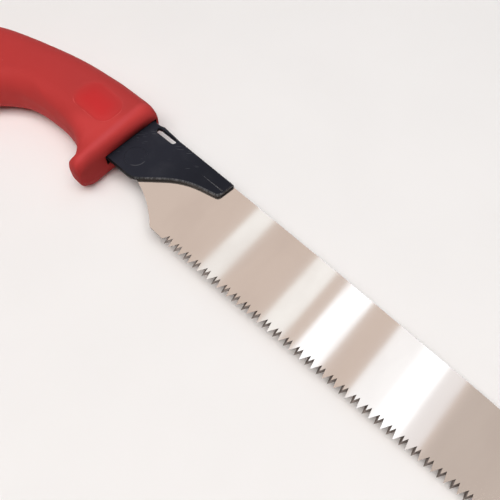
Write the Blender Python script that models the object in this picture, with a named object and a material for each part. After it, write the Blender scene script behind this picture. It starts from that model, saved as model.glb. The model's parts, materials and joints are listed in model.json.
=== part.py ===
"""Pull-stroke pruning saw with a replaceable straight blade.

The blade hooks onto a pin in a folded steel holder and swings up into the holder's channel. The holder's tail is
riveted into a hard core, and a soft grip with a finger guard is moulded over that core.

Lengths are millimetres in the blade's own plan: X runs along the gullet line towards the tip, with 0 at the first
tooth, Y runs from the gullets towards the back of the blade, and Z is square to the blade, with 0 in its middle.
The empty "saw" carries that plan to the part's frame, whose origin is on the flat flank that the grip lies on.
"""

import math

import bmesh
import bpy
from mathutils import Matrix, Vector

MM = 0.001

# Teeth: triangles bevelled on alternate faces
TOOTH_COUNT = 100
TOOTH_PITCH = 3.0
TOOTH_HEIGHT = 4.6
TOOTH_LEAN = 0.75
TEETH_START = -0.9
GULLET_SLANT = 1.1
STUB_SHARE = 0.57

# Blade
BLADE_DEPTH = 39.0
TIP_DEPTH = 25.6
TIP_RAKE = 7.0
BACK_STRAIGHTNESS = 0.4
TEETH_THICKNESS = 0.9
BACK_THICKNESS = 0.7
TIP_ROUND = 9.0
TOE_ROUND = 1.5
HEEL_LAND = 10.1
HEEL_STUB = 3.4
HEEL_TILT = 0.4
HEEL_SAGITTA = 2.3
HEEL_RISE = 15.0

# Hook pin, riveted flush into both cheeks of the holder
PIN_X = -43.3
PIN_Y = 18.8
PIN_RADIUS = 3.0
PIN_HEAD_RADIUS = 5.5
PIN_HEAD_DEPTH = 1.0
HOOK_RADIUS = 7.6
HOOK_DROP = 5.0
HOOK_SHOULDER = 1.5

# Holder: one sheet folded along the back of the blade
SHEET = 2.0
CHANNEL = 1.2
FOLD_RADIUS = 1.6
FOLD_SLOPE = 0.0195
FOLD_RISE = 0.36
EDGE_CHAMFER = 0.55
HOLDER_FRONT = 2.7
FRONT_RAKE = 0.9
HOLDER_MOUTH = -55.0
HOLDER_STEP = 5.5
HOLDER_ROUND = 3.0
FRONT_ROUND = 0.3
CHEEK_BELOW_PIN = 10.05
CHEEK_AHEAD_OF_PIN = 7.1
CHEEK_ROUND = 9.0
SNOUT_LENGTH = 19.7
SNOUT_ROOT_DEPTH = 13.9
SNOUT_ROUND = 38.0
SNOUT_TIP_DEPTH = 9.7
SNOUT_TIP_ROUND = 2.4
FAR_CHEEK_RISE = 2.6
TAIL_END = -96.0
TAIL_TOP = 33.5
TAIL_BOTTOM = 14.5
WINDOW_X = -41.3
WINDOW_LENGTH = 12.9
WINDOW_HEIGHT = 3.2
WINDOW_BAR = 2.0
WINDOW_BULGE = 0.8
WINDOW_RELIEF = 2.5
CREASE_LENGTH = 19.5
CREASE_HEIGHT = 0.4
CREASE_WIDTH = 1.0
CREASE_BELOW_BACK = 6.5

# Core and rivets inside the grip
GRIP_WALL = 5.0
RIVET_RADIUS = 2.5
RIVET_HEAD_RADIUS = 4.0
RIVET_HEAD_HEIGHT = 1.4
RIVET_SETBACK = 10.0
RIVET_SPACING = 18.0
KEY_RADIUS = 4.0

# Grip
GRIP_HALF_THICKNESS = 14.0
TAIL_HALF_THICKNESS = 12.0
NOSE_HALF_THICKNESS = 4.4
ROUND_TOP = 10.0
ROUND_BOTTOM = 11.0
ROUND_SIDE = 11.0
ROUND_LEAST = 1.0
NOSE_LENGTH = 6.8
GUARD_LENGTH = 5.0
NOSE_TOP_ROUND = 2.6
GUARD_ROUND = 3.0
TAIL_CAP = 9.0
TAIL_CAP_TURN = 85.0
PAD_X = -75.0
PAD_Y = 24.9
PAD_LENGTH = 23.5
PAD_HEIGHT = 17.4
PAD_CORNER = 7.0
PAD_DEPTH = 0.6
HANG_RADIUS = 4.5
REST_X = -104.0
REST_Y = 24.0

# Clearances
FIT = 0.3
PRESS = 0.15
RUN = 0.2
MOUTH_GAP = 0.6

# Facets
ARC_STEPS = 6
ROUND_STEPS = 32
SECTION_STEPS = 5
STATION_STEPS = 3
CAP_STEPS = 6
NEARLY_HALF = 0.49

# Sections of the grip from the nose to the tail: where each meets the top line, given from the blade's back,
# and where it meets the bottom line
GRIP_SECTIONS = (
    ((-59.6, 5.2), (-57.4, -8.0)),
    ((-64.4, 5.1), (-60.9, -7.6)),
    ((-69.2, 4.9), (-62.9, -2.2)),
    ((-74.0, 4.7), (-66.6, 3.6)),
    ((-78.9, 4.4), (-74.6, 6.7)),
    ((-86.0, 3.7), (-86.0, 7.5)),
    ((-97.0, 2.6), (-98.0, 7.6)),
    ((-110.0, 0.4), (-108.0, 6.6)),
    ((-122.6, -3.0), (-116.5, 2.9)),
    ((-136.4, -7.2), (-125.5, -4.2)),
    ((-150.5, -11.0), (-134.4, -13.5)),
    ((-164.0, -17.5), (-142.0, -24.0)),
    ((-176.0, -28.0), (-148.0, -35.5)),
    ((-184.0, -44.0), (-150.0, -46.5)),
)
FULL_SECTION_COUNT = 9
CORE_SECTION_COUNT = 12
KEY_SECTION_COUNTS = (8, 10)

BLADE_LENGTH = TOOTH_COUNT * TOOTH_PITCH
TEETH_END = TEETH_START + BLADE_LENGTH
HOLDER_HALF = CHANNEL / 2 + SHEET
PIN = Vector((PIN_X, PIN_Y))


def clear_scene():
    """Take out every object that the file opened with."""
    for thing in list(bpy.data.objects):
        bpy.data.objects.remove(thing, do_unlink=True)


def make_material(name, colour, roughness, metallic):
    """A plain finish for one sub-part."""
    finish = bpy.data.materials.new(name)
    finish.use_nodes = True
    shader = finish.node_tree.nodes["Principled BSDF"]
    shader.inputs["Base Color"].default_value = (*colour, 1.0)
    shader.inputs["Roughness"].default_value = roughness
    shader.inputs["Metallic"].default_value = metallic
    return finish


def make_object(name, mesh_builder, parent, finish=None):
    """Turn a bmesh into an object under its parent, with faces pointing out."""
    bmesh.ops.recalc_face_normals(mesh_builder, faces=mesh_builder.faces)
    mesh = bpy.data.meshes.new(name)
    mesh_builder.to_mesh(mesh)
    mesh_builder.free()
    mesh.shade_smooth()
    mesh.set_sharp_from_angle(angle=math.radians(30))
    thing = bpy.data.objects.new(name, mesh)
    bpy.context.collection.objects.link(thing)
    thing.parent = parent
    if finish:
        mesh.materials.append(finish)
    return thing


def make_empty(name, place, parent=None):
    """A named point that pieces hang on."""
    empty = bpy.data.objects.new(name, None)
    empty.location = Vector(place) * MM
    empty.parent = parent
    bpy.context.collection.objects.link(empty)
    return empty


def combine(target, other, operation="DIFFERENCE"):
    """Cut or join one body with another, which is kept as a hidden guide."""
    other.hide_render = True
    other.display_type = "WIRE"
    step = target.modifiers.new(other.name, "BOOLEAN")
    step.operation = operation
    step.object = other


def rounded(corners):
    """Points of an outline whose corners (x, y, radius) are turned into arcs that fit their edges."""
    points = []
    for index, (x, y, radius) in enumerate(corners):
        here = Vector((x, y))
        before = Vector(corners[index - 1][:2]) - here
        after = Vector(corners[(index + 1) % len(corners)][:2]) - here
        if radius == 0:
            points.append(here)
            continue
        half_angle = before.angle(after) / 2
        reach = min(radius / math.tan(half_angle), NEARLY_HALF * before.length, NEARLY_HALF * after.length)
        start = here + before.normalized() * reach
        end = here + after.normalized() * reach
        centre = here + (before.normalized() + after.normalized()).normalized() * reach / math.cos(half_angle)
        turn = (end - centre).angle_signed(start - centre)
        for step in range(ARC_STEPS + 1):
            points.append(centre + Matrix.Rotation(turn * step / ARC_STEPS, 2) @ (start - centre))
    return points


def arc(centre, radius, start_deg, end_deg, steps):
    """Points on a circle from one angle to another."""
    points = []
    for step in range(steps + 1):
        angle = math.radians(start_deg + (end_deg - start_deg) * step / steps)
        points.append(centre + radius * Vector((math.cos(angle), math.sin(angle))))
    return points


def sagged(start, end, sagitta, steps):
    """Points of a shallow arc between two points, which bows to the left by its sagitta."""
    chord = end - start
    side = Vector((-chord.y, chord.x)).normalized()
    points = []
    for step in range(steps + 1):
        share = step / steps
        points.append(start + chord * share + side * sagitta * 4 * share * (1 - share))
    return points


def grown(outline, distance):
    """An outline, run anticlockwise, moved outwards by a distance."""
    points = []
    for index, here in enumerate(outline):
        along = (here - outline[index - 1]).normalized()
        onward = (outline[(index + 1) % len(outline)] - here).normalized()
        normal = Vector((along.y, -along.x)) + Vector((onward.y, -onward.x))
        normal.normalize()
        spread = max(0.5, normal.dot(Vector((along.y, -along.x))))
        points.append(here + normal * distance / spread)
    return points


def stack(loops):
    """A closed body through loops of points that have the same count, capped at both ends."""
    body = bmesh.new()
    rings = []
    for loop in loops:
        rings.append([body.verts.new(Vector(point) * MM) for point in loop])
    for low, high in zip(rings, rings[1:]):
        for index in range(len(low)):
            body.faces.new((low[index - 1], low[index], high[index], high[index - 1]))
    body.faces.new(list(reversed(rings[0])))
    body.faces.new(rings[-1])
    return body


def prism(outline, low, high):
    """An outline carried from one height to another."""
    return stack([[(*point, z) for point in outline] for z in (low, high)])


def turned(centre, profile):
    """A body of revolution about Z through a centre, from (radius, height) pairs."""
    loops = []
    for radius, height in profile:
        ring = arc(centre, radius, 0, 360, ROUND_STEPS)[:-1]
        loops.append([(*point, height) for point in ring])
    return stack(loops)


def joined(bodies):
    """Several separate bodies in one bmesh."""
    whole = bodies[0]
    for body in bodies[1:]:
        mesh = bpy.data.meshes.new("piece")
        body.to_mesh(mesh)
        body.free()
        whole.from_mesh(mesh)
        bpy.data.meshes.remove(mesh)
    return whole


def back_line(x):
    """Height of the blade's back, which falls in a gentle curve to the tip."""
    share = max(0.0, x / BLADE_LENGTH)
    fall = BACK_STRAIGHTNESS * share + (1 - BACK_STRAIGHTNESS) * share * share
    return BLADE_DEPTH - (BLADE_DEPTH - TIP_DEPTH) * fall


def gullet(index, face):
    """Where the gullet before a tooth meets one face: gullets run slantwise through the blade."""
    slant = face * GULLET_SLANT / 2 * (1 if index % 2 == 0 else -1)
    return Vector((TEETH_START + index * TOOTH_PITCH + slant, 0))


def tooth_row(face):
    """Gullets and tips along one face. Every second tooth is full there, and bevels leave the others a stub."""
    points = []
    for index in range(TOOTH_COUNT):
        full = (index % 2 == 1) == (face > 0)
        share = 1.0 if full else STUB_SHARE
        centre = TEETH_START + (index + 0.5) * TOOTH_PITCH
        points.append(gullet(index, face))
        points.append(Vector((centre - TOOTH_LEAN * share, -TOOTH_HEIGHT * share)))
    points.append(gullet(TOOTH_COUNT, face))
    return points


def hook_outline():
    """Rear end of the blade: an edge clear of the window, a round back and a finger beside the pin."""
    window_floor = window_ceiling() - WINDOW_HEIGHT
    shoulder = Vector((WINDOW_X + WINDOW_LENGTH / 2 + HOOK_SHOULDER, window_floor - 2 * FIT))
    reach = shoulder - PIN
    tangent = math.degrees(math.atan2(reach.y, reach.x) + math.acos(HOOK_RADIUS / reach.length))
    finger = 180 + math.degrees(math.asin(HOOK_DROP / HOOK_RADIUS))
    seat = PIN_RADIUS + RUN
    points = [shoulder]
    points += arc(PIN, HOOK_RADIUS, tangent, finger, 2 * ARC_STEPS)
    points.append(PIN + Vector((-seat, -HOOK_DROP)))
    points += arc(PIN, seat, 180, 0, 2 * ARC_STEPS)
    return points


def blade_outline(face):
    """Outline of one face of the blade, anticlockwise from the heel."""
    flank = TOOTH_PITCH / 2 + GULLET_SLANT / 2
    first = gullet(0, face)
    last = gullet(TOOTH_COUNT, face)
    stub_share = HEEL_STUB / TOOTH_HEIGHT
    stub = first - Vector(((flank + TOOTH_LEAN) * stub_share, HEEL_STUB))
    heel = Vector((TEETH_START - HEEL_LAND, -HEEL_STUB + HEEL_TILT))
    toe = last + Vector(((flank - TOOTH_LEAN) * stub_share, -HEEL_STUB))
    toe_land = Vector((TEETH_END + TOOTH_PITCH, toe.y + HEEL_TILT))
    points = [heel, stub]
    points += tooth_row(face)
    points.append(toe)
    nose_top = TEETH_END + TOOTH_PITCH - TIP_RAKE
    tip = rounded(
        (
            (*toe, 0),
            (*toe_land, TOE_ROUND),
            (nose_top, back_line(nose_top), TIP_ROUND),
            (nose_top - 2 * TIP_DEPTH, back_line(nose_top - 2 * TIP_DEPTH), 0),
        )
    )
    points += tip[1:-1]
    step_x = HOLDER_FRONT + FIT
    back_start = nose_top - TIP_DEPTH
    for step in range(2 * ARC_STEPS + 1):
        x = back_start + (step_x - back_start) * step / (2 * ARC_STEPS)
        points.append(Vector((x, back_line(x))))
    seat_drop = SHEET + FIT
    points.append(Vector((step_x, holder_back(step_x) - seat_drop)))
    hook = hook_outline()
    ramp_x = hook[0].x + seat_drop
    points.append(Vector((ramp_x, holder_back(ramp_x) - seat_drop)))
    points += hook
    heel_start = Vector((hook[-1].x, heel.y + HEEL_RISE))
    points += sagged(heel_start, heel, HEEL_SAGITTA, 2 * ARC_STEPS)[:-1]
    return points


def build_blade(parent, finish):
    """Blade, ground thinner towards its back."""
    loops = []
    for face in (-1, 1):
        loop = []
        for point in blade_outline(face):
            share = (point.y + TOOTH_HEIGHT) / (BLADE_DEPTH + TOOTH_HEIGHT)
            thickness = TEETH_THICKNESS + (BACK_THICKNESS - TEETH_THICKNESS) * share
            loop.append((*(point - PIN), face * thickness / 2))
        loops.append(loop)
    return make_object("blade", stack(loops), parent, finish)


def holder_back(x):
    """Height of the folded edge, which stands a little proud of the blade's back and rises to the mouth."""
    return back_line(HOLDER_FRONT) + FOLD_RISE + (HOLDER_FRONT - x) * FOLD_SLOPE


def window_ceiling():
    """Height of the window's upper edge, under a thin bar that bows out with the fold."""
    return holder_back(WINDOW_X) + WINDOW_BULGE - WINDOW_BAR


def holder_top(drop, chamfer=0.0):
    """Corners of the folded edge from front to tail, lowered by a drop and drawn in at the front by a chamfer."""
    rear = WINDOW_X - WINDOW_LENGTH / 2
    front = WINDOW_X + WINDOW_LENGTH / 2
    crest = rear + 2 * WINDOW_BULGE
    places = (
        (HOLDER_FRONT - chamfer, holder_back(HOLDER_FRONT), FRONT_ROUND),
        (front, holder_back(front), HOLDER_ROUND),
        (crest, holder_back(crest) + WINDOW_BULGE, 2 * WINDOW_BULGE),
        (rear - WINDOW_BULGE, holder_back(rear), 2 * WINDOW_BULGE),
        (HOLDER_MOUTH, holder_back(HOLDER_MOUTH), HOLDER_ROUND),
        (HOLDER_MOUTH - HOLDER_STEP, TAIL_TOP, HOLDER_ROUND),
        (TAIL_END, TAIL_TOP, HOLDER_ROUND),
    )
    return [(x, y - drop, radius) for x, y, radius in places]


def cheek_edge(rise):
    """Corners of a cheek's free edge from the mouth to the front, raised by some distance."""
    places = (
        (HOLDER_MOUTH, PIN_Y - CHEEK_BELOW_PIN, HOLDER_ROUND),
        (PIN_X + CHEEK_AHEAD_OF_PIN, PIN_Y - CHEEK_BELOW_PIN, CHEEK_ROUND),
        (HOLDER_FRONT - SNOUT_LENGTH, BLADE_DEPTH - SNOUT_ROOT_DEPTH, SNOUT_ROUND),
        (HOLDER_FRONT - FRONT_RAKE - rise, BLADE_DEPTH - SNOUT_TIP_DEPTH, SNOUT_TIP_ROUND),
    )
    return [(x, y + rise, radius) for x, y, radius in places]


def holder_outline(drop=0.0, chamfer=0.0):
    """Outline of the holder, anticlockwise from its tail, lowered at the fold and drawn in by a chamfer."""
    tail = [
        (TAIL_END, TAIL_BOTTOM, HOLDER_ROUND),
        (HOLDER_MOUTH - HOLDER_STEP, TAIL_BOTTOM, HOLDER_ROUND),
    ]
    return rounded(tail + cheek_edge(chamfer) + holder_top(drop, chamfer))


def box_outline(low, high):
    """Corners of a rectangle, anticlockwise."""
    return [Vector(low), Vector((high.x, low.y)), Vector(high), Vector((low.x, high.y))]


def build_holder(parent, finish):
    """Folded sheet with a round back, a channel open below, a window at the fold and a pressed crease."""
    loops = []
    turns = [math.radians(90 * step / ARC_STEPS) for step in range(ARC_STEPS + 1)]
    for side in (-1, 1):
        levels = []
        for turn in turns:
            height = HOLDER_HALF - FOLD_RADIUS * (1 - math.cos(turn))
            drop = FOLD_RADIUS * (1 - math.sin(turn))
            chamfer = max(0.0, EDGE_CHAMFER - HOLDER_HALF + height)
            levels.append([(*point, side * height) for point in holder_outline(drop, chamfer)])
        loops += levels if side < 0 else reversed(levels)
    holder = make_object("blade_holder", stack(loops), parent, finish)

    below = PIN_Y - 4 * HOOK_RADIUS
    channel = [Vector(point[:2]) for point in holder_top(SHEET)]
    channel[0].x += SHEET
    channel[-1].x -= SHEET
    channel += [Vector((channel[-1].x, below)), Vector((channel[0].x, below))]
    combine(holder, make_object("channel_cut", prism(channel, -CHANNEL / 2, CHANNEL / 2), parent))

    low = Vector((WINDOW_X - WINDOW_LENGTH / 2, window_ceiling() - WINDOW_HEIGHT))
    high = Vector((WINDOW_X + WINDOW_LENGTH / 2, window_ceiling()))
    end_round = WINDOW_HEIGHT * NEARLY_HALF
    window = rounded([(*corner, end_round) for corner in box_outline(low, high)])
    combine(holder, make_object("window_cut", prism(window, -2 * HOLDER_HALF, 2 * HOLDER_HALF), parent))
    margin = Vector((WINDOW_RELIEF, WINDOW_RELIEF))
    relief = box_outline(low - margin, high + margin)
    combine(holder, make_object("window_relief", prism(relief, -2 * HOLDER_HALF, 0.0), parent))
    mouth, root, snout, tip = cheek_edge(FAR_CHEEK_RISE)
    ahead = HOLDER_FRONT + SHEET
    far_edge = rounded(((mouth[0], below, 0), (ahead, below, 0), (ahead, tip[1], 0), snout, root, (*mouth[:2], 0)))
    combine(holder, make_object("far_cheek_cut", prism(far_edge, -2 * HOLDER_HALF, 0.0), parent))

    crease_y = holder_back(HOLDER_FRONT) - CREASE_BELOW_BACK
    front_x = HOLDER_FRONT - FRONT_RAKE - EDGE_CHAMFER
    for side, name in ((-1, "crease_far"), (1, "crease_near")):
        face = side * HOLDER_HALF
        crest = face + side * CREASE_HEIGHT
        root = face - side * SHEET / 2
        front = [
            (front_x, crease_y - CREASE_WIDTH / 2, face),
            (front_x, crease_y, crest),
            (front_x, crease_y + CREASE_WIDTH / 2, face),
            (front_x, crease_y + CREASE_WIDTH / 2, root),
            (front_x, crease_y - CREASE_WIDTH / 2, root),
        ]
        rear = [(x - CREASE_LENGTH, y, min(abs(z), HOLDER_HALF - PRESS) * side) for x, y, z in front]
        combine(holder, make_object(name, stack([front, rear]), parent), "UNION")

    holes = [
        turned(PIN, ((PIN_RADIUS + PRESS, -2 * HOLDER_HALF), (PIN_RADIUS + PRESS, 2 * HOLDER_HALF))),
    ]
    for place in rivet_places():
        radius = RIVET_RADIUS + PRESS
        holes.append(turned(place, ((radius, -2 * HOLDER_HALF), (radius, 2 * HOLDER_HALF))))
    combine(holder, make_object("holder_holes", joined(holes), parent))
    sinks = []
    for side in (-1, 1):
        radius = PIN_HEAD_RADIUS + PRESS
        floor = side * (HOLDER_HALF - PIN_HEAD_DEPTH)
        sinks.append(turned(PIN, ((radius, floor), (radius, side * 2 * HOLDER_HALF))))
    combine(holder, make_object("head_sinks", joined(sinks), parent))
    return holder


def build_hook_pin(parent, finish):
    """Pin between the cheeks, with a flush head at each end."""
    face = HOLDER_HALF - PRESS / 2
    shoulder = HOLDER_HALF - PIN_HEAD_DEPTH + PRESS
    profile = (
        (PIN_HEAD_RADIUS, -face),
        (PIN_HEAD_RADIUS, -shoulder),
        (PIN_RADIUS, -shoulder),
        (PIN_RADIUS, shoulder),
        (PIN_HEAD_RADIUS, shoulder),
        (PIN_HEAD_RADIUS, face),
    )
    return make_object("hook_pin", turned(PIN, profile), parent, finish)


def rivet_places():
    """Centres of the rivets along the holder's tail."""
    first = HOLDER_MOUTH - HOLDER_STEP - RIVET_SETBACK
    height = (TAIL_TOP + TAIL_BOTTOM) / 2
    return [Vector((first - index * RIVET_SPACING, height)) for index in range(2)]


def grip_stations():
    """Smooth run of (top, bottom, half thickness) through the grip's sections, nose to tail."""
    tops = [Vector((x, BLADE_DEPTH + rise)) for (x, rise), _ in GRIP_SECTIONS]
    bottoms = [Vector(bottom) for _, bottom in GRIP_SECTIONS]
    last = len(GRIP_SECTIONS) - 1
    stations = []
    for index in range(last):
        for step in range(STATION_STEPS):
            share = step / STATION_STEPS
            pair = [through(line, index, share) for line in (tops, bottoms)]
            stations.append((*pair, half_thickness(index + share)))
    stations.append((tops[-1], bottoms[-1], half_thickness(last)))
    return stations


def through(points, index, share):
    """Point of the smooth curve through some points, a share of the way along one span."""
    before = points[max(index - 1, 0)]
    start = points[index]
    end = points[index + 1]
    after = points[min(index + 2, len(points) - 1)]
    leave = (end - before) / 2
    arrive = (after - start) / 2
    bend = 3 * (end - start) - 2 * leave - arrive
    twist = 2 * (start - end) + leave + arrive
    return start + leave * share + bend * share**2 + twist * share**3


def half_thickness(position):
    """Half the grip's thickness at a section: constant for the flat flanks, then easing in to the tail."""
    run = len(GRIP_SECTIONS) - FULL_SECTION_COUNT
    share = max(0.0, (position + 1 - FULL_SECTION_COUNT) / run)
    ease = share * share * (3 - 2 * share)
    return GRIP_HALF_THICKNESS + (TAIL_HALF_THICKNESS - GRIP_HALF_THICKNESS) * ease


def grip_section(top, bottom, half, inset=0.0):
    """Rounded section between a top and a bottom point, drawn in by an inset all round."""
    up = (top - bottom).normalized()
    height = (top - bottom).length - 2 * inset
    base = bottom + up * inset
    depth = half - inset
    squeeze = min(1.0, half / GRIP_HALF_THICKNESS)
    side_round = min(max(ROUND_SIDE * squeeze - inset, ROUND_LEAST), 2 * NEARLY_HALF * depth)
    low_round = min(max(ROUND_BOTTOM * squeeze - inset, ROUND_LEAST), NEARLY_HALF * height)
    high_round = min(max(ROUND_TOP * squeeze - inset, ROUND_LEAST), NEARLY_HALF * height)
    corners = (
        (1, low_round, low_round, 270),
        (1, height - high_round, high_round, 0),
        (-1, height - high_round, high_round, 90),
        (-1, low_round, low_round, 180),
    )
    loop = []
    for side, centre, reach, start in corners:
        for step in range(SECTION_STEPS + 1):
            angle = math.radians(start + 90 * step / SECTION_STEPS)
            along = centre + reach * math.sin(angle)
            across = side * (depth - side_round) + side_round * math.cos(angle)
            loop.append((*(base + up * along), across))
    return loop


def nose_stations(first):
    """Rounding in front of the first section, down to the narrow face around the mouth."""
    top, bottom, half = first
    stations = []
    for step in range(CAP_STEPS, 0, -1):
        turn = math.radians(90 * step / CAP_STEPS)
        ahead = math.sin(turn)
        closing = 1 - math.cos(turn)
        high = top + Vector((NOSE_LENGTH * ahead, -NOSE_TOP_ROUND * closing))
        low = bottom + Vector((GUARD_LENGTH * ahead, GUARD_ROUND * closing))
        stations.append((high, low, half + (NOSE_HALF_THICKNESS - half) * closing))
    return stations


def tail_stations(last):
    """Rounding behind the last section."""
    top, bottom, half = last
    up = (top - bottom).normalized()
    out = Vector((up.y, -up.x)) * (-1 if up.y > 0 else 1)
    stations = []
    for step in range(1, CAP_STEPS + 1):
        turn = math.radians(TAIL_CAP_TURN * step / CAP_STEPS)
        closing = TAIL_CAP * (1 - math.cos(turn))
        shift = out * TAIL_CAP * math.sin(turn)
        stations.append((top - up * closing + shift, bottom + up * closing + shift, half - closing))
    return stations


def core_loops(inset):
    """Sections of the grip drawn in by an inset, from the first section to the core's end."""
    stations = grip_stations()[: (CORE_SECTION_COUNT - 1) * STATION_STEPS + 1]
    loops = [grip_section(*station, inset) for station in stations]
    spare = GRIP_WALL - inset
    for end, towards in ((0, 1), (-1, -2)):
        out = (Vector(loops[end][0]) - Vector(loops[towards][0])).normalized()
        loops[end] = [tuple(Vector(point) + out * spare) for point in loops[end]]
    return loops


def key_places():
    """Centres of the round keys that tie the grip to its core."""
    stations = grip_stations()
    pairs = [stations[(count - 1) * STATION_STEPS] for count in KEY_SECTION_COUNTS]
    return [(top + bottom) / 2 for top, bottom, _ in pairs]


def cylinders(places, radius):
    """Round posts through the whole grip."""
    reach = 2 * GRIP_HALF_THICKNESS
    return joined([turned(place, ((radius, -reach), (radius, reach))) for place in places])


def build_core(parent, finish):
    """Hard core with a pocket for the holder's tail, rivet holes with sunk ends and key holes."""
    core = make_object("grip_core", stack(core_loops(GRIP_WALL)), parent, finish)
    pocket_half = HOLDER_HALF + FIT
    pocket = prism(grown(holder_outline(), FIT), -pocket_half, pocket_half)
    combine(core, make_object("tail_pocket", pocket, parent))
    combine(core, make_object("rivet_holes", cylinders(rivet_places(), RIVET_RADIUS + PRESS), parent))
    sinks = []
    face = GRIP_HALF_THICKNESS - GRIP_WALL
    radius = RIVET_HEAD_RADIUS + PRESS
    for place in rivet_places():
        for side in (-1, 1):
            floor = side * (face - RIVET_HEAD_HEIGHT - 2 * PRESS)
            sinks.append(turned(place, ((radius, floor), (radius, side * 2 * face))))
    combine(core, make_object("rivet_sinks", joined(sinks), parent))
    combine(core, make_object("key_holes", cylinders(key_places(), KEY_RADIUS), parent))
    return core


def build_rivets(parent, finish):
    """Rivets through core and tail, with their heads sunk into the core."""
    face = GRIP_HALF_THICKNESS - GRIP_WALL - PRESS
    shoulder = face - RIVET_HEAD_HEIGHT
    profile = (
        (RIVET_HEAD_RADIUS, -face),
        (RIVET_HEAD_RADIUS, -shoulder),
        (RIVET_RADIUS, -shoulder),
        (RIVET_RADIUS, shoulder),
        (RIVET_HEAD_RADIUS, shoulder),
        (RIVET_HEAD_RADIUS, face),
    )
    for place, name in zip(rivet_places(), ("front_rivet", "rear_rivet")):
        make_object(name, turned(place, profile), parent, finish)


def build_grip(parent, finish):
    """Soft grip with guard: a skin round the core, open at the mouth, with a sunk pad on each flank."""
    stations = grip_stations()
    stations = nose_stations(stations[0]) + stations + tail_stations(stations[-1])
    grip = make_object("grip", stack([grip_section(*station) for station in stations]), parent, finish)

    cavity = make_object("core_cavity", stack(core_loops(GRIP_WALL - FIT)), parent)
    combine(cavity, make_object("grip_keys", cylinders(key_places(), KEY_RADIUS - FIT), parent))
    combine(grip, cavity)
    mouth_half = HOLDER_HALF + MOUTH_GAP
    mouth = prism(grown(holder_outline(), MOUTH_GAP), -mouth_half, mouth_half)
    combine(grip, make_object("mouth_cut", mouth, parent))

    centre = Vector((PAD_X, PAD_Y))
    reach = Vector((PAD_LENGTH / 2, PAD_HEIGHT / 2))
    outline = rounded([(*corner, PAD_CORNER) for corner in box_outline(centre - reach, centre + reach)])
    floor = GRIP_HALF_THICKNESS - PAD_DEPTH
    pads = [prism(outline, side * floor, side * (floor + GRIP_WALL)) for side in (-1, 1)]
    combine(grip, make_object("pad_cut", joined(pads), parent))
    tail_top, tail_bottom, _ = grip_stations()[-1]
    hang_hole = cylinders([(tail_top + tail_bottom) / 2], HANG_RADIUS)
    combine(grip, make_object("hang_cut", hang_hole, parent))
    return grip


def main():
    """Build every sub-part of the saw under its empties."""
    clear_scene()
    steel = make_material("bright_steel", (0.62, 0.56, 0.51), 0.22, 1.0)
    black = make_material("black_coated_steel", (0.02, 0.02, 0.025), 0.42, 0.0)
    pin_steel = make_material("coated_pin_steel", (0.022, 0.022, 0.027), 0.4, 0.0)
    red = make_material("red_elastomer", (0.49, 0.048, 0.045), 0.55, 0.0)
    nylon = make_material("core_plastic", (0.12, 0.12, 0.12), 0.5, 0.0)
    rivet_steel = make_material("rivet_steel", (0.5, 0.5, 0.52), 0.35, 1.0)

    saw = make_empty("saw", (-REST_X, -REST_Y, GRIP_HALF_THICKNESS))
    pivot = make_empty("blade_pivot", (*PIN, 0.0), saw)
    build_blade(pivot, steel)
    build_holder(saw, black)
    build_hook_pin(saw, pin_steel)
    build_core(saw, nylon)
    build_rivets(saw, rivet_steel)
    build_grip(saw, red)


main()
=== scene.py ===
"""Looks of a pull-stroke pruning saw: the finish of each piece, its soft grip and its studio."""

import json
import logging
import math
from collections.abc import Callable, Iterator, Sequence
from contextlib import contextmanager
from dataclasses import dataclass
from enum import Enum

import bmesh
import bpy
from mathutils import Matrix, Quaternion, Vector


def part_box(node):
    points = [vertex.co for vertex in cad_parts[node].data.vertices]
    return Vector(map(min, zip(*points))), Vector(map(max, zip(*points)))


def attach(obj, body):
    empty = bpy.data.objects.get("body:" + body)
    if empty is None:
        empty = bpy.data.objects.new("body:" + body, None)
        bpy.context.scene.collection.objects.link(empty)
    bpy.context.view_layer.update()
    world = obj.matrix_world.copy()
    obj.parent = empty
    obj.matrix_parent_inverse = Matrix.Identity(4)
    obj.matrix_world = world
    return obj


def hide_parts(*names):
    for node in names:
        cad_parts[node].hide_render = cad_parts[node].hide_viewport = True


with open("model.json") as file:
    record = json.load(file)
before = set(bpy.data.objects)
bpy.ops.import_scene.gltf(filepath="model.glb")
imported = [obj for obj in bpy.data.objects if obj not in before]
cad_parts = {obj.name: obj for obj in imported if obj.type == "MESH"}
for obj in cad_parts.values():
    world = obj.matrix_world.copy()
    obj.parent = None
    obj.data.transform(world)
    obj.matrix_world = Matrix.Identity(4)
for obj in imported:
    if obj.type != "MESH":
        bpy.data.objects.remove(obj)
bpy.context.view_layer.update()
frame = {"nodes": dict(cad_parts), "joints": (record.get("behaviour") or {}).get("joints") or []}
LOG = logging.getLogger("pruning_saw")
MM = 0.001
PIN = Vector(frame["joints"][0]["pos_m"])

Colour = tuple[float, float, float]
Point = tuple[float, float]
Place = tuple[float, float, float]
Station = tuple[Vector, Vector, float, float]
Item = bmesh.types.BMVert | bmesh.types.BMEdge | bmesh.types.BMFace


class Body(Enum):
    """Rigid bodies of the saw."""

    HANDLE = "handle"
    BLADE = "saw_blade"


class Slot(Enum):
    """Material slots of the record."""

    BRIGHT_STEEL = "bright_steel"
    BLACK_COAT = "black_coated_steel"
    COATED_PIN = "coated_pin_steel"
    CORE = "core_plastic"
    RIVET = "rivet_steel"
    ELASTOMER = "red_elastomer"


class Part(Enum):
    """What a selection picks in edit mode."""

    VERTS = "VERT"
    EDGES = "EDGE"
    FACES = "FACE"


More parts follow.
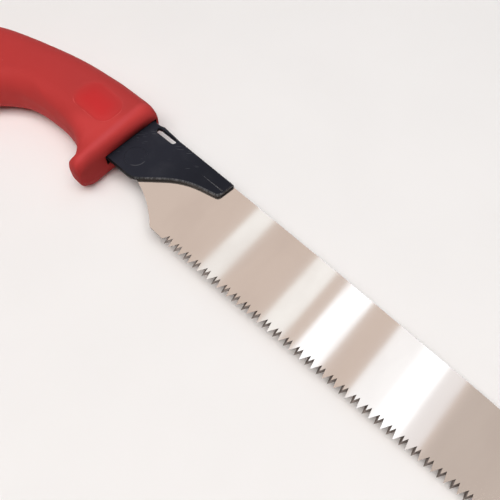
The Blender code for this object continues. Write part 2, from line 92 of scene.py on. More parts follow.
class Value:
    """A number in a shader, which grows Math nodes where it takes part in an expression."""

    def __init__(self, shader: "Shader", socket: bpy.types.NodeSocket) -> None:
        """Keeps the socket and the shader that owns it."""
        self.shader = shader
        self.socket = socket

    def _math(self, operation: str, first: "Value | float", second: "Value | float") -> "Value":
        """Adds a Math node and gives its result."""
        made = self.shader.node("ShaderNodeMath", {"operation": operation}, {0: first, 1: second})
        return Value(self.shader, made.outputs[0])

    def __add__(self, other: "Value | float") -> "Value":
        """Sum."""
        return self._math("ADD", self, other)

    def __radd__(self, other: float) -> "Value":
        """Sum with a number in front."""
        return self._math("ADD", other, self)

    def __sub__(self, other: "Value | float") -> "Value":
        """Difference."""
        return self._math("SUBTRACT", self, other)

    def __rsub__(self, other: float) -> "Value":
        """Difference from a number."""
        return self._math("SUBTRACT", other, self)

    def __mul__(self, other: "Value | float") -> "Value":
        """Product."""
        return self._math("MULTIPLY", self, other)

    def __rmul__(self, other: float) -> "Value":
        """Product with a number in front."""
        return self._math("MULTIPLY", other, self)

    def __pow__(self, other: "Value | float") -> "Value":
        """Power."""
        return self._math("POWER", self, other)

    def __or__(self, other: "Value | float") -> "Value":
        """The larger of two values."""
        return self._math("MAXIMUM", self, other)

    def __abs__(self) -> "Value":
        """Size without its sign."""
        return self._math("ABSOLUTE", self, 0.0)

    def rising(self, low: float, high: float) -> "Value":
        """A smooth step from 0 at one value to 1 at another.

        Args:
            low: Value where the step starts.
            high: Value where the step ends.

        Returns:
            The step.
        """
        ends = {"Value": self, "From Min": low, "From Max": high}
        made = self.shader.node("ShaderNodeMapRange", {"interpolation_type": "SMOOTHSTEP"}, ends)
        return Value(self.shader, made.outputs[0])


class Shader:
    """Node tree of one material or of the world, grown by expressions."""

    def __init__(self, name: str, world: bool = False) -> None:
        """Makes a material with a Principled shader, or a world with a Background.

        Args:
            name: Name of the material or world.
            world: Whether a world is made.
        """
        self.owner = (bpy.data.worlds if world else bpy.data.materials).new(name)
        self.owner.use_nodes = True
        self.tree = self.owner.node_tree
        self.surface = self.tree.nodes["Background" if world else "Principled BSDF"]

    def feed(self, socket: bpy.types.NodeSocket, value: object) -> None:
        """Links or sets one input.

        Args:
            socket: Input to feed.
            value: A Value, a socket, or the number, colour or vector to set.
        """
        if isinstance(value, Value):
            self.tree.links.new(value.socket, socket)
        elif isinstance(value, bpy.types.NodeSocket):
            self.tree.links.new(value, socket)
        elif socket.type == "RGBA" and len(value) == 3:
            socket.default_value = (*value, 1.0)
        else:
            socket.default_value = value

    def node(self, kind: str, settings: dict | None = None, sockets: dict | None = None) -> bpy.types.Node:
        """Adds a node.

        Args:
            kind: Blender's name of the node type.
            settings: The node's own settings, which are set first.
            sockets: What each input gets, by name or number.

        Returns:
            The node.
        """
        made = self.tree.nodes.new(kind)
        for name, value in (settings or {}).items():
            setattr(made, name, value)
        for name, value in (sockets or {}).items():
            self.feed(made.inputs[name], value)
        return made

    def dress(self, **sockets: object) -> None:
        """Feeds inputs of the surface's shader, whose names are written with underscores."""
        for name, value in sockets.items():
            self.feed(self.surface.inputs[name.replace("_", " ")], value)

    def place(self, stretch: Sequence[float] = (1.0, 1.0, 1.0), turn: float = 0.0) -> bpy.types.NodeSocket:
        """Object coordinates, turned in plan and then stretched along the turned axes.

        Args:
            stretch: Factor along each axis.
            turn: Angle of the pattern in plan, in degrees.

        Returns:
            The vector socket.
        """
        source = self.node("ShaderNodeTexCoord")
        sockets = {
            "Vector": source.outputs["Object"],
            "Rotation": (0.0, 0.0, math.radians(turn)),
            "Scale": tuple(1.0 / part for part in stretch),
        }
        return self.node("ShaderNodeMapping", {"vector_type": "TEXTURE"}, sockets).outputs[0]

    def from_pin(self, axis: int) -> Value:
        """Distance from the hook pin's middle along one axis, in millimetres."""
        made = self.node("ShaderNodeSeparateXYZ", None, {0: self.place()})
        return (Value(self, made.outputs[axis]) - PIN[axis]) * (1 / MM)

    def noise(
        self, grain: float, detail: float = 2.0, stretch: Sequence[float] = (1.0, 1.0, 1.0), turn: float = 0.0
    ) -> Value:
        """Soft noise on the object.

        Args:
            grain: Size of one blot, in millimetres.
            detail: How many finer layers are added.
            stretch: Factor along each axis.
            turn: Angle of the pattern in plan, in degrees.

        Returns:
            The noise, about 0 to 1.
        """
        sockets = {"Vector": self.place(stretch, turn), "Scale": 1.0 / (grain * MM), "Detail": detail}
        made = self.node("ShaderNodeTexNoise", None, sockets)
        return Value(self, made.outputs[0])

    def attribute(self, name: str) -> Value:
        """A number that the mesh keeps at its points."""
        made = self.node("ShaderNodeAttribute", {"attribute_name": name})
        return Value(self, made.outputs["Fac"])

    def sight(self) -> Value:
        """1 on the rays by which the camera, metal and glass see, and 0 on all others.

        Returns:
            The value.
        """
        rays = self.node("ShaderNodeLightPath").outputs
        kinds = ("Is Camera Ray", "Is Glossy Ray", "Is Transmission Ray")
        camera, glossy, through = (Value(self, rays[kind]) for kind in kinds)
        return camera | glossy | through

    def blend(self, share: Value, first: object, second: object) -> bpy.types.NodeSocket:
        """A colour between two, the first where share is 0 and the second where it is 1."""
        made = self.node("ShaderNodeMix", {"data_type": "RGBA"}, {0: share, 6: first, 7: second})
        return made.outputs[2]

    def bump(
        self, height: Value, depth: float, under: bpy.types.NodeSocket | None = None
    ) -> bpy.types.NodeSocket:
        """A normal that follows a height.

        Args:
            height: Relief from 0 to 1.
            depth: Depth of the relief, in millimetres.
            under: Normal of a coarser relief below this one.

        Returns:
            The normal socket.
        """
        sockets = {"Height": height, "Distance": depth * MM, "Strength": 1.0}
        if under:
            sockets["Normal"] = under
        return self.node("ShaderNodeBump", None, sockets).outputs[0]


@dataclass(frozen=True)
class Elastomer:
    """Matte red elastomer, smoother and deeper in colour on the sunk pads, with painted light and shade over
    the nose, flanks and side walls and a painted highlight along the ridge.
    """

    flank: Colour = (0.484, 0.0430, 0.0405)
    # Painted shade: the flanks turn darker towards the top of the grip.
    shaded_top: Colour = (0.445, 0.0430, 0.0415)
    # Painted light: the rounded side walls near the mid-plane get a tone of their own for the light they
    # catch.
    side: Colour = (0.470, 0.0410, 0.0385)
    # Painted light: lighter tone over the nose and the front of the flanks.
    rubbed_and_lit: Colour = (0.560, 0.0520, 0.0500)
    # Painted highlight along the ridge where the flank turns down to the nose.
    ridge_highlight: Colour = (0.555, 0.0660, 0.0680)
    # Painted shade: darker on the nose face down towards the mouth and over the nose's lower side.
    nose_shade: Colour = (0.350, 0.0275, 0.0265)
    pad: Colour = (0.600, 0.0290, 0.0305)
    # Painted shade on the pads towards the top of the grip.
    pad_shaded_top: Colour = (0.500, 0.0310, 0.0320)
    # Painted shade: near black on the walls inside the mouth and in a wedge on the nose face beside the
    # holder.
    mouth: Colour = (0.012, 0.006, 0.006)
    rim: Colour = (0.640, 0.085, 0.082)
    dust: Colour = (0.640, 0.300, 0.260)
    # Height band and share of the painted shade towards the top; the rest is random cloud.
    top_shade_rise: Point = (-5.0, 13.0)
    top_shade_share: float = 0.8
    flank_height: Point = (4.0, 11.0)
    # Where the painted light and shade on the nose reach.
    nose_light_slope: float = 0.8
    nose_light_run: Point = (-33.0, -20.0)
    nose_light_middle: float = -2.0
    nose_light_reach: Point = (4.0, 16.0)
    nose_light_fall: float = 0.7
    front_run: Point = (-17.0, -13.5)
    front_height: Point = (-13.6, -11.0)
    nose_shade_height: Point = (3.0, 12.5)
    shade_height: Point = (3.0, 8.0)
    shade_start: Point = (-14.0, 10.0)
    shade_end: Point = (12.0, 24.0)
    shade_share: float = 0.85
    # Where the painted highlight along the ridge lies and how strong it is.
    ridge_line: float = 13.95
    ridge_slope: float = 0.047
    ridge_width: Point = (0.2, 2.6)
    ridge_height: Point = (8.5, 11.0)
    ridge_least: float = 0.4
    rim_height: Point = (11.0, 12.0)
    dust_height: Point = (13.0, 13.4)
    pebble_depth: float = 0.035
    pad_smoothing: float = 0.7
    roughness: float = 0.62
    pad_roughness: float = 0.5
    specular: float = 0.08

    def material(self) -> bpy.types.Material:
        """Makes the finish.

        Returns:
            The material.
        """
        shader = Shader("red_elastomer")
        sunk = shader.attribute(Grip.PAD_ATTRIBUTE)
        cloud = shader.noise(22.0, 2.0).rising(0.3, 0.7)
        handled = shader.noise(5.0, 3.0).rising(0.35, 0.75)
        # Painted shade towards the top of the grip, mixed with a little random cloud.
        top_shade_and_cloud = self.top_shade_share * shader.from_pin(1).rising(*self.top_shade_rise) + (1 - self.top_shade_share) * cloud
        height = abs(shader.from_pin(2))
        flanks = shader.blend(top_shade_and_cloud, self.flank, self.shaded_top)
        # The side walls near the mid-plane take the painted side tone; the nose gets its painted light and
        # shade.
        skin = self.nose(shader, shader.blend(height.rising(*self.flank_height), self.side, flanks))
        skin = shader.blend(self.pad_rim(shader) * height.rising(*self.rim_height), skin, self.rim)
        skin = shader.blend(self.specks(shader) * height.rising(*self.dust_height), skin, self.dust)
        skin = shader.blend(sunk, skin, shader.blend(top_shade_and_cloud, self.pad, self.pad_shaded_top))
        pebble = shader.noise(0.45, 2.0)
        shader.dress(
            # Painted shade: the walls inside the mouth are near black.
            Base_Color=shader.blend(shader.attribute(Grip.MOUTH_ATTRIBUTE), skin, self.mouth),
            Roughness=self.roughness - 0.05 * handled - (self.roughness - self.pad_roughness) * sunk,
            Normal=shader.bump(pebble * (1 - self.pad_smoothing * sunk), self.pebble_depth),
            Specular_IOR_Level=self.specular,
        )
        return shader.owner

    def nose(self, shader: Shader, skin: bpy.types.NodeSocket) -> bpy.types.NodeSocket:
        """Paints light over the nose, painted shade down its front towards the mouth and a painted highlight
        along its ridge.

        Args:
            shader: Shader that it becomes part of.
            skin: Colour of the grip so far.

        Returns:
            The colour with the nose's tones.
        """
        across, up, height = (shader.from_pin(axis) for axis in range(3))
        level = abs(up - self.nose_light_middle).rising(*self.nose_light_reach)
        # Painted light over the nose, fading away from the middle of its height.
        nose_light = (across - self.nose_light_slope * up).rising(*self.nose_light_run) * (1 - self.nose_light_fall * level)
        front = across.rising(*self.front_run)
        # Painted shade low on the nose, turning into its painted light higher up.
        painted_light_and_wear = shader.blend(height.rising(*self.nose_shade_height), self.nose_shade, self.rubbed_and_lit)
        skin = shader.blend((nose_light | front) * height.rising(*self.front_height), skin, painted_light_and_wear)
        # Painted shade in a wedge on the nose face beside the holder, growing towards the top.
        beside = 1 - abs(height).rising(*self.shade_height)
        shade = beside * up.rising(*self.shade_start) * (1 - up.rising(*self.shade_end))
        skin = shader.blend(self.shade_share * front * shade, skin, self.mouth)
        # Painted highlight along the ridge, strongest where the nose's painted light is.
        edge = 1 - abs(across + self.ridge_slope * up + self.ridge_line).rising(*self.ridge_width)
        highlight_share = self.ridge_least + (1 - self.ridge_least) * nose_light
        return shader.blend(edge * abs(height).rising(*self.ridge_height) * highlight_share, skin, self.ridge_highlight)

    @staticmethod
    def pad_rim(shader: Shader) -> Value:
        """Broken, lighter line along the lower side of the pad's outline.

        Args:
            shader: Shader that it becomes part of.

        Returns:
            The line, 1 in its middle.
        """
        corner = Grip.pad_corner
        across, up = (shader.from_pin(axis) - Grip.pad_centre[axis] for axis in range(2))
        spans = [(abs(way) - (reach - corner)) | 0.0 for way, reach in zip((across, up), Grip.pad_reach)]
        outside = (spans[0] * spans[0] + spans[1] * spans[1]) ** 0.5 - corner
        lower = (0.6 * across - 0.8 * up).rising(-3.0, 2.0)
        painted_light_and_wear = shader.noise(6.0, 2.0).rising(0.34, 0.58)
        return lower * painted_light_and_wear * (1 - abs(outside + 0.1).rising(0.05, 0.4))

    @staticmethod
    def specks(shader: Shader) -> Value:
        """Sparse specks of dust on the flanks.

        Args:
            shader: Shader that it becomes part of.

        Returns:
            The specks, 1 in the middle of each.
        """
        settings = {"voronoi_dimensions": "2D", "feature": "F1"}
        sockets = {"Vector": shader.place(), "Scale": 1 / (19.0 * MM)}
        cells = shader.node("ShaderNodeTexVoronoi", settings, sockets)
        size = shader.noise(24.0, 1.0).rising(0.42, 0.62)
        return size * (1 - Value(shader, cells.outputs["Distance"]).rising(0.006, 0.018))


@dataclass(frozen=True)
class SatinCoat:
    """Satin black coating on stamped sheet, with faint rubs, painted shade towards the snout and by the
    grip's mouth, and a painted highlight on the pin's rim.
    """

    name: str = "black_coat"
    coat: Colour = (0.0190, 0.0200, 0.0285)
    # Lighter rubbed blots, at random over the coat.
    rubbed_and_lit: Colour = (0.0280, 0.0290, 0.0375)
    # Painted shade: the coat turns darker towards the snout and close by the grip's mouth.
    shaded_coat: Colour = (0.0080, 0.0085, 0.0120)
    snout_shade_run: Point = (8.0, 34.0)
    snout_shade_share: float = 0.55
    mouth_run: Point = (-12.0, -5.0)
    mouth_share: float = 0.95
    specular: float = 0.06
    # Light tone of the scratches and of the painted highlight on the pin's rim.
    scratch_and_glint: Colour = (0.060, 0.061, 0.070)
    arc_radius: float = 5.2
    roughness: float = 0.42

    def material(self) -> bpy.types.Material:
        """Makes the finish.

        Returns:
            The material.
        """
        shader = Shader(self.name)
        blots = shader.noise(9.0, 3.0).rising(0.45, 0.8)
        strokes = shader.noise(0.5, 1.0, (0.09, 1.0, 1.0), 38.0).rising(0.66, 0.72)
        scratches = strokes * shader.noise(11.0, 1.0).rising(0.5, 0.6)
        peel = shader.noise(0.7, 1.0)
        skin = shader.blend(blots, self.coat, self.rubbed_and_lit)
        along = shader.from_pin(0)
        # Painted shade by the grip's mouth and towards the snout.
        mouth_shade = self.mouth_share * (1 - along.rising(*self.mouth_run))
        skin = shader.blend(self.snout_shade_share * along.rising(*self.snout_shade_run) | mouth_shade, skin, self.shaded_coat)
        shader.dress(
            # Scratches are real marks; the arc on the pin's rim is a painted highlight.
            Base_Color=shader.blend(self.marks(shader) | scratches, skin, self.scratch_and_glint),
            Roughness=self.roughness + 0.07 * blots - 0.1 * scratches,
            Normal=shader.bump(peel, 0.008),
            Specular_IOR_Level=self.specular,
        )
        return shader.owner

    def marks(self, shader: Shader) -> Value:
        """Arc on the pin's head with a painted highlight on one side, 1 in its middle.

        Args:
            shader: Shader that it becomes part of.

        Returns:
            The arc.
        """
        across, up = shader.from_pin(0), shader.from_pin(1)
        radius = (across * across + up * up) ** 0.5
        side = (0.86 * across - 0.52 * up).rising(3.4, 4.7)
        return side * (1 - abs(radius - self.arc_radius).rising(0.1, 0.4))


@dataclass(frozen=True)
class ShearedEdge:
    """Edge of the coated sheet, with the streaks that shearing leaves across it and a painted highlight on
    its upper part.
    """

    dark: Colour = (0.0045, 0.0046, 0.0052)
    # Painted highlight: a lighter streaked band on the upper part of the edge, kept off the lower wall and
    # off the stretch by the grip's nose, which stay dark.
    painted_light_and_wear: Colour = (0.118, 0.120, 0.127)
    edge_light_height: Point = (1.25, 1.65)
    edge_light_start: Point = (7.0, 9.5)
    # Fainter painted highlight along the top rim of the edge, reaching further back.
    rim_light_height: Point = (2.0, 2.4)
    rim_light_start: Point = (-3.0, 4.0)
    rim_light_share: float = 0.25
    roughness: float = 0.4
    specular: float = 0.09

    def material(self) -> bpy.types.Material:
        """Makes the finish.

        Returns:
            The material.
        """
        shader = Shader("sheared_edge")
        streaks = shader.noise(0.6, 2.0, (1.0, 0.35, 0.04))
        along, height = shader.from_pin(0), abs(shader.from_pin(2))
        # Painted highlight on the top rim, and on the upper edge ahead of the nose, broken up and streaked.
        rubbed_and_lit = self.rim_light_share * height.rising(*self.rim_light_height) * along.rising(*self.rim_light_start)
        high = height.rising(*self.edge_light_height) * along.rising(*self.edge_light_start) | rubbed_and_lit
        streaked_edge_light = high * shader.noise(5.0, 2.0).rising(0.1, 0.4) * (0.35 + 0.65 * streaks.rising(0.4, 0.62))
        shader.dress(
            Base_Color=shader.blend(streaked_edge_light, self.dark, self.painted_light_and_wear),
            Roughness=self.roughness - 0.08 * streaked_edge_light,
            Normal=shader.bump(streaks, 0.03),
            Specular_IOR_Level=self.specular,
        )
        return shader.owner


@dataclass(frozen=True)
class BrightSteel:
    """Plated blade steel, ground across its length."""

    steel: Colour = (0.584, 0.503, 0.449)
    clouded: Colour = (0.553, 0.473, 0.422)
    roughness: float = 0.05

    def material(self) -> bpy.types.Material:
        """Makes the finish.

        Returns:
            The material.
        """
        shader = Shader("bright_steel")
        cloud = shader.noise(16.0, 3.0, (1.0, 0.45, 1.0)).rising(0.35, 0.75)
        lines = shader.noise(0.5, 3.0, (1.0, 0.03, 1.0))
        wave = shader.noise(30.0, 1.0, (1.0, 0.5, 1.0))
        shader.dress(
            Base_Color=shader.blend(cloud, self.steel, self.clouded),
            Metallic=1.0,
            Roughness=self.roughness + 0.015 * cloud + 0.015 * lines,
            Normal=shader.bump(lines, 0.0002, shader.bump(wave, 0.006)),
        )
        return shader.owner


@dataclass(frozen=True)
class GroundBevel:
    """Ground and hardened faces of the teeth, darker than the plated sides."""

    ground: Colour = (0.30, 0.262, 0.242)
    tempered: Colour = (0.20, 0.172, 0.16)
    roughness: float = 0.34

    def material(self) -> bpy.types.Material:
        """Makes the finish.

        Returns:
            The material.
        """
        shader = Shader("ground_bevel")
        heat = shader.noise(2.4, 2.0).rising(0.35, 0.7)
        lines = shader.noise(0.12, 2.0, (1.0, 1.0, 0.08))
        shader.dress(
            Base_Color=shader.blend(heat, self.ground, self.tempered),
            Metallic=1.0,
            Roughness=self.roughness + 0.1 * lines,
            Normal=shader.bump(lines, 0.004),
        )
        return shader.owner


@dataclass(frozen=True)
class InnerFinish:
    """Plain finish of a piece that the grip covers."""

    name: str
    tone: Colour
    other: Colour
    metallic: float
    roughness: float

    def material(self) -> bpy.types.Material:
        """Makes the finish.

        Returns:
            The material.
        """
        shader = Shader(self.name)
        grain = shader.noise(1.5, 3.0)
        shader.dress(
            Base_Color=shader.blend(grain.rising(0.3, 0.7), self.tone, self.other),
            Metallic=self.metallic,
            Roughness=self.roughness + 0.1 * grain,
            Normal=shader.bump(grain, 0.02),
        )
        return shader.owner


class Bench:
    """One object on the bench, with the edit-mode tools that shape it."""

    MERGE_REACH = 0.002
    FLAT_ANGLE = 0.4

    def __init__(self, thing: bpy.types.Object) -> None:
        """Keeps the object."""
        self.thing = thing

    @staticmethod
    def clear() -> None:
        """Deselects every object."""
        if bpy.context.object and bpy.context.object.mode != "OBJECT":
            bpy.ops.object.mode_set(mode="OBJECT")
        bpy.ops.object.select_all(action="DESELECT")

    @classmethod
    def newest(cls, name: str) -> "Bench":
        """Takes the primitive that was just added.

        Args:
            name: Name that it gets.

        Returns:
            The bench that holds it.
        """
        thing = bpy.context.object
        thing.name = name
        thing.data.name = name
        return cls(thing)

    @classmethod
    def copy_of(cls, node: str, name: str) -> "Bench":
        """Copies a CAD node into a merged mesh with clean flat faces.

        Args:
            node: CAD node to copy.
            name: Name of the copy.

        Returns:
            The bench that holds the copy.
        """
        cls.clear()
        mesh = frame["nodes"][node].data.copy()
        mesh.name = name
        mesh.materials.clear()
        thing = bpy.data.objects.new(name, mesh)
        bpy.context.scene.collection.objects.link(thing)
        made = cls(thing)
        with made.editing():
            bpy.ops.mesh.select_all(action="SELECT")
            bpy.ops.mesh.remove_doubles(threshold=cls.MERGE_REACH * MM)
            bpy.ops.mesh.dissolve_limited(angle_limit=math.radians(cls.FLAT_ANGLE))
        if mesh.has_custom_normals:
            with made.chosen():
                bpy.ops.mesh.customdata_custom_splitnormals_clear()
        return made

    @contextmanager
    def chosen(self) -> Iterator[None]:
        """Makes the object the only selected one."""
        self.clear()
        self.thing.select_set(True)
        bpy.context.view_layer.objects.active = self.thing
        yield

    @contextmanager
    def editing(self) -> Iterator[None]:
        """Opens the object in edit mode, with nothing selected."""
        with self.chosen():
            bpy.ops.object.mode_set(mode="EDIT")
            bpy.ops.mesh.select_all(action="DESELECT")
            yield
            bpy.ops.object.mode_set(mode="OBJECT")

    def pick(self, part: Part, test: Callable[[Item], bool]) -> None:
        """Selects what passes a test, and nothing else.

        Args:
            part: Whether points, edges or faces are tested.
            test: Says which are selected.
        """
        bpy.ops.mesh.select_mode(type=part.value)
        bpy.ops.mesh.select_all(action="DESELECT")
        shape = bmesh.from_edit_mesh(self.thing.data)
        group = {Part.VERTS: shape.verts, Part.EDGES: shape.edges, Part.FACES: shape.faces}[part]
        for item in [item for item in group if test(item)]:
            item.select_set(True)
        shape.select_flush_mode()
        bmesh.update_edit_mesh(self.thing.data)

    def dress_second(self, test: Callable[[Item], bool]) -> None:
        """Gives the faces that pass a test the second finish, in edit mode.

        Args:
            test: Says which faces get it.
        """
        self.pick(Part.FACES, test)
        self.thing.active_material_index = 1
        bpy.ops.object.material_slot_assign()

    def apply(self, kind: str, **settings: object) -> None:
        """Adds a modifier and applies it.

        Args:
            kind: Blender's name of the modifier type.
            **settings: Settings of the modifier.
        """
        with self.chosen():
            step = self.thing.modifiers.new(kind.lower(), kind)
            for name, value in settings.items():
                setattr(step, name, value)
            bpy.ops.object.modifier_apply(modifier=step.name)

    def cut(self, tool: "Bench") -> None:
        """Cuts another body away and removes it."""
        self.apply("BOOLEAN", operation="DIFFERENCE", object=tool.thing)
        bpy.data.objects.remove(tool.thing, do_unlink=True)

    def smooth(self, angle: float, flats: bool = False) -> None:
        """Shades smooth, except across sharp edges.

        Args:
            angle: Edges that bend more than this, in degrees, stay sharp.
            flats: Whether large flat faces keep their own normal.
        """
        with self.chosen():
            bpy.ops.object.shade_smooth_by_angle(angle=math.radians(angle))
        if flats:
            self.apply("WEIGHTED_NORMAL", keep_sharp=True)

    def settle(self, body: Body, slot: Slot, *stands_for: str) -> None:
        """Ties the finished piece to the frame.

        Args:
            body: Body that it moves with.
            slot: Record's slot of its finish; not used.
            *stands_for: CAD nodes that it replaces.
        """
        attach(self.thing, body.value)
        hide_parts(*stands_for)
        LOG.info("%s: %d faces on %s", self.thing.name, len(self.thing.data.polygons), body.value)


@dataclass
class Grip:
    """Red grip with guard, lofted in millimetres from the hook pin's axis."""

    PAD_ATTRIBUTE = "pad"
    # Marks the walls inside the mouth, which get painted shade.
    MOUTH_ATTRIBUTE = "mouth"

    sections: tuple[tuple[Point, Point], ...] = (
        ((-18.4, 25.4), (-14.0, -27.0)),
        ((-21.1, 25.3), (-18.6, -26.1)),
        ((-25.9, 25.1), (-20.3, -20.3)),
        ((-30.7, 24.9), (-25.2, -15.8)),
        ((-35.6, 24.6), (-32.2, -12.9)),
        ((-42.7, 23.9), (-43.0, -11.2)),
        ((-53.7, 22.8), (-55.0, -11.3)),
        ((-66.7, 20.6), (-64.9, -12.7)),
        ((-79.3, 17.6), (-73.5, -15.5)),
        ((-93.1, 14.0), (-83.0, -22.2)),
        ((-107.2, 9.6), (-91.1, -32.3)),
        ((-120.7, 2.7), (-98.7, -42.8)),
        ((-132.7, -7.8), (-104.7, -54.3)),
        ((-140.6, -23.8), (-106.7, -65.25)),
    )
    full_section_count: int = 9
    half_thickness: float = 14.0
    tail_half_thickness: float = 12.0
    nose_half_thickness: float = 4.4
    nose_taper: float = 2.0
    nose_taper_sections: float = 4.5
    round_top: float = 10.0
    round_bottom: float = 9.2
    round_guard: float = 8.0
    round_start: float = 1.5
    round_stations: Point = (5.5, 8.0)
    round_change: Point = (-44.0, -26.0)
    round_limit: float = -78.0
    round_line_reach: float = 1.2
    round_fade: float = 28.0
    round_side: float = 11.0
    nose_length: float = 9.3
    guard_length: float = 3.2
    ridge_length: float = 5.95
    nose_top_round: float = 2.6
    guard_round: float = 1.6
    tail_cap: float = 9.0
    tail_cap_turn: float = 85.0
    mouth_top: float = 22.0
    mouth_bottom: float = -10.3
    mouth_half: float = 2.9
    mouth_depth: float = 9.0
    lip_round: float = 0.5
    lip_spread: float = 1.6
    pad_centre: Point = (-31.2, 5.9)
    pad_reach: Point = (12.4, 8.9)
    pad_corner: float = 7.0
    pad_depth: float = 0.5
    pad_slope: float = 0.9
    pad_fade: float = 7.5
    pad_edge_share: float = 0.4
    hang_radius: float = 4.5
    hang_rim: float = 0.9
    hang_rim_angle: float = 30.0
    hang_rim_slack: float = 0.05
    hang_rim_steps: int = 4
    corner_share: float = 0.98
    smooth_angle: float = 40.0
    station_steps: int = 9
    cap_steps: int = 14
    corner_steps: int = 8
    flank_steps: int = 40
    edge_steps: int = 4
    hole_steps: int = 64

    @staticmethod
    def through(points: Sequence[Vector], index: int, share: float) -> Vector:
        """Point of the smooth curve through some points.

        Args:
            points: Points on the curve.
            index: Span of the curve.
            share: How far along that span.

        Returns:
            The point.
        """
        before = points[max(index - 1, 0)]
        start = points[index]
        end = points[index + 1]
        after = points[min(index + 2, len(points) - 1)]
        leave = (end - before) / 2
        arrive = (after - start) / 2
        bend = 3 * (end - start) - 2 * leave - arrive
        twist = 2 * (start - end) + leave + arrive
        return start + leave * share + bend * share**2 + twist * share**3

    def thickness(self, position: float) -> float:
        """Half the thickness at a section, which eases in to the nose and to the tail.

        Args:
            position: Number of the section, with its fraction.

        Returns:
            The half thickness.
        """
        run = len(self.sections) - self.full_section_count
        ease = self.eased((position + 1 - self.full_section_count) / run)
        taper = self.nose_taper * (1 - self.eased(position / self.nose_taper_sections))
        return self.half_thickness - taper + (self.tail_half_thickness - self.half_thickness) * ease

    def rounding(self, position: float) -> float:
        """How far the bottom's rounding reaches up, little where it is rounded later.

        Args:
            position: Number of the section, with its fraction.

        Returns:
            The reach.
        """
        start, end = self.round_stations
        ease = self.eased((position - start) / (end - start))
        return self.round_start + (self.round_bottom - self.round_start) * ease

    @staticmethod
    def distance(spot: Vector, line: Sequence[Vector]) -> float:
        """Distance of a point from a line of points in plan.

        Args:
            spot: The point.
            line: Points of the line, in order.

        Returns:
            The distance.
        """
        best = math.inf
        for start, end in zip(line, line[1:]):
            run = end - start
            share = min(1.0, max(0.0, (spot - start).dot(run) / run.length_squared))
            best = min(best, (start + run * share - spot).length)
        return best

    def round_lower_edge(self, bench: Bench) -> None:
        """Rounds the flanks down to the bottom line, by the distance from it.

        Args:
            bench: Holds the grip.
        """
        rear = self.round_line_reach * self.round_limit
        line = [bottom for _, bottom, _, _ in self.stations() if bottom.x > rear]
        flat = self.half_thickness - self.round_side
        start, end = self.round_change
        for vert in bench.thing.data.vertices:
            local = (vert.co - PIN) / MM
            if abs(local.z) <= flat or local.x < self.round_limit:
                continue
            ease = self.eased((local.x - start) / (end - start))
            reach = self.round_bottom + (self.round_guard - self.round_bottom) * ease
            short = max(0.0, 1 - self.distance(local.to_2d(), line) / reach)
            share = self.eased((local.x - self.round_limit) / self.round_fade)
            rise = flat + (abs(local.z) - flat) * (1 - share * (1 - math.sqrt(1 - short * short)))
            vert.co.z = PIN.z + math.copysign(rise, local.z) * MM

    def stations(self) -> list[Station]:
        """Stations along the grip, from its nose to its tail.

        Returns:
            Top, bottom, half thickness and bottom rounding of each.
        """
        tops = [Vector(top) for top, _ in self.sections]
        bottoms = [Vector(bottom) for _, bottom in self.sections]
        last = len(self.sections) - 1
        run: list[Station] = []
        for index in range(last):
            for step in range(self.station_steps):
                share = step / self.station_steps
                pair = [self.through(line, index, share) for line in (tops, bottoms)]
                run.append((pair[0], pair[1], self.thickness(index + share), self.rounding(index + share)))
        run.append((tops[-1], bottoms[-1], self.thickness(last), self.round_bottom))
        return self.nose(run[0]) + run + self.tail(run[-1])

    def nose(self, first: Station) -> list[Station]:
        """Rounding ahead of the first section, down to the narrow face round the mouth.

        Args:
            first: Station of the first section.

        Returns:
            Stations from the mouth back.
        """
        top, bottom, half, low_round = first
        run: list[Station] = []
        for step in range(self.cap_steps, 0, -1):
            turn = math.radians(90 * step / self.cap_steps)
            ahead = math.sin(turn)
            closing = 1 - math.cos(turn)
            high = top + Vector((self.nose_length * ahead, -self.nose_top_round * closing))
            low = bottom + Vector((self.guard_length * ahead, self.guard_round * closing))
            run.append((high, low, half - self.nose_fall(half, self.nose_length * (1 - ahead)), low_round))
        return run

    def nose_fall(self, half: float, behind: float) -> float:
        """How far the flank, of this half thickness, has fallen this far behind the mouth."""
        into = max(0.0, 1 - behind / self.ridge_length)
        return (half - self.nose_half_thickness) * (1 - math.sqrt(1 - into * into))

    def tail(self, last: Station) -> list[Station]:
        """Rounding behind the last section.

        Args:
            last: Station of the last section.

        Returns:
            Stations from there back.
        """
        top, bottom, half, low_round = last
        up = (top - bottom).normalized()
        out = Vector((up.y, -up.x)) * (-1 if up.y > 0 else 1)
        run: list[Station] = []
        for step in range(1, self.cap_steps + 1):
            turn = math.radians(self.tail_cap_turn * step / self.cap_steps)
            closing = self.tail_cap * (1 - math.cos(turn))
            shift = out * self.tail_cap * math.sin(turn)
            run.append((top - up * closing + shift, bottom + up * closing + shift, half - closing, low_round))
        return run

